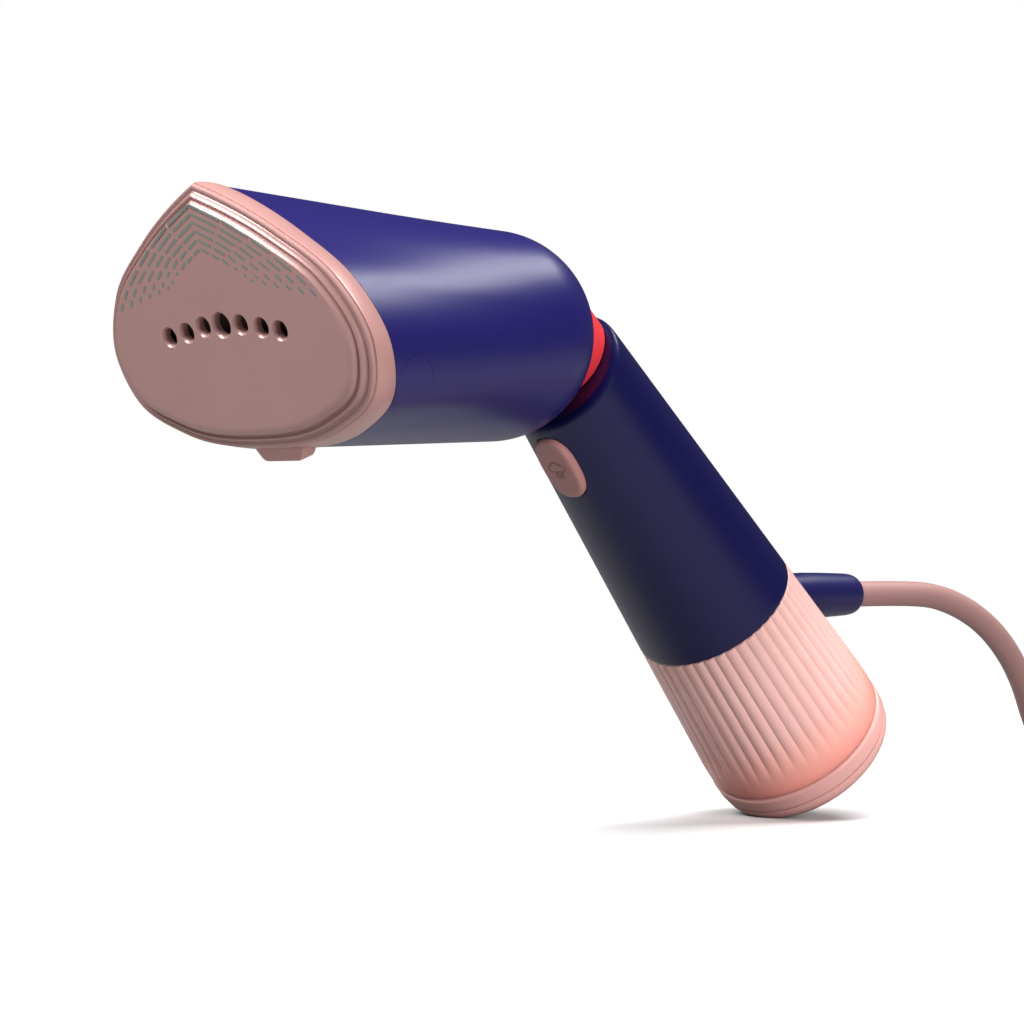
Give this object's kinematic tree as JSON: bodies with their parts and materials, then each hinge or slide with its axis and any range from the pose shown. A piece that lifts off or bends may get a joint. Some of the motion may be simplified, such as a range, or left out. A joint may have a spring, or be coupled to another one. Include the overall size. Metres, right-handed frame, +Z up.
{
  "type": "garment steamer",
  "caption": "Handheld garment steamer with a pick-shaped steam plate, domed head on a swivel joint, slanted tapering handle, removable water tank and mains cord.",
  "frame": {"origin": "middle of the grip, on the handle's axis", "axes": "+Z up, the steam plate faces -Y, +X is the steamer's own left side; the head is level and the handle slants down and back"},
  "size_m": [0.1595, 0.467, 0.1757],
  "materials": {
    "housing_blue": "satin violet-blue moulded plastic",
    "handle_navy": "smooth dark navy moulded plastic",
    "collar_pink": "satin pale pink moulded plastic",
    "plate_rose": "rose ceramic coating on pressed metal",
    "ring_red": "satin deep red plastic",
    "tank_pink": "translucent-looking pale pink plastic",
    "cap_pink": "satin pink plastic",
    "relief_blue": "soft dark blue plastic",
    "cord_pink": "matt pale pink cord jacket",
    "natural_nylon": "natural nylon",
    "black_plastic": "black plastic",
    "silicone": "red silicone rubber",
    "seal_rubber": "black rubber",
    "die_cast": "die-cast aluminium",
    "steel": "steel",
    "brass": "brass",
    "copper_winding": "enamelled copper winding",
    "board_green": "green circuit board"
  },
  "bodies": {
    "handle": {"handle_shell": "handle_navy", "chassis": "natural_nylon", "pump_body": "natural_nylon", "pump_coil": "copper_winding", "pump_spring": "steel", "control_board": "board_green", "micro_switch": "black_plastic", "button_spring": "steel", "tank_socket": "natural_nylon", "socket_seal": "seal_rubber", "suction_tube": "natural_nylon", "suction_filter": "natural_nylon", "swivel_bush": "black_plastic", "swivel_washer": "steel", "hose_coupling": "brass", "pump_hose": "silicone", "inlet_hose": "silicone", "strain_relief": "relief_blue", "inner_cord": "cord_pink", "power_cord": "cord_pink", "cord_coil": "cord_pink", "cord_tail": "cord_pink", "cord_tie": "black_plastic", "plug_body": "cord_pink", "plug_pins": "brass"},
    "head": {"head_housing": "housing_blue", "side_covers": "housing_blue", "front_collar": "collar_pink", "steam_plate": "plate_rose", "plate_gasket": "silicone", "boiler_cover": "die_cast", "boiler": "die_cast", "heating_element": "steel", "boiler_screws": "steel", "thermostat": "black_plastic", "thermal_fuse": "steel", "water_inlet": "brass", "heat_shield": "steel", "swivel_shaft": "natural_nylon", "swivel_screws": "steel", "friction_ring": "seal_rubber", "retaining_clip": "steel", "swivel_ring": "ring_red", "head_hose": "silicone"},
    "button": {"steam_button": "collar_pink"},
    "plunger": {"switch_plunger": "silicone"},
    "piston": {"pump_plunger": "steel"},
    "tank": {"tank_body": "tank_pink", "tank_band": "cap_pink", "tank_cap": "cap_pink", "cap_seal": "seal_rubber"}
  },
  "joints": [
    {"name": "head_swivel", "type": "hinge", "parent": "handle", "child": "head", "pos_m": [0, -0.04454, 0.04734], "axis": [0, 0.9179, -0.3967], "range_deg": [0, 180]},
    {"name": "button_press", "type": "slide", "parent": "handle", "child": "button", "axis": [0, 0.7765, 0.6301], "range_m": [0, 0.0012], "stiffness_N_per_m": 1500, "springref_m": -0.0015, "deforming": ["button_spring"]},
    {"name": "switch_press", "type": "slide", "parent": "handle", "child": "plunger", "axis": [0, 0.7765, 0.6301], "range_m": [0, 0.0012]},
    {"name": "pump_stroke", "type": "slide", "parent": "handle", "child": "piston", "axis": [0, 0.6852, -0.7284], "range_m": [-0.002, 0.002], "stiffness_N_per_m": 800, "deforming": ["pump_spring"]},
    {"name": "tank_release", "type": "slide", "parent": "handle", "child": "tank", "axis": [0, 0.6852, -0.7284], "range_m": [0, 0.07]}
  ],
  "couplings": [
    {"joint": "switch_press", "follows": "button_press", "ratio": 1}
  ]
}
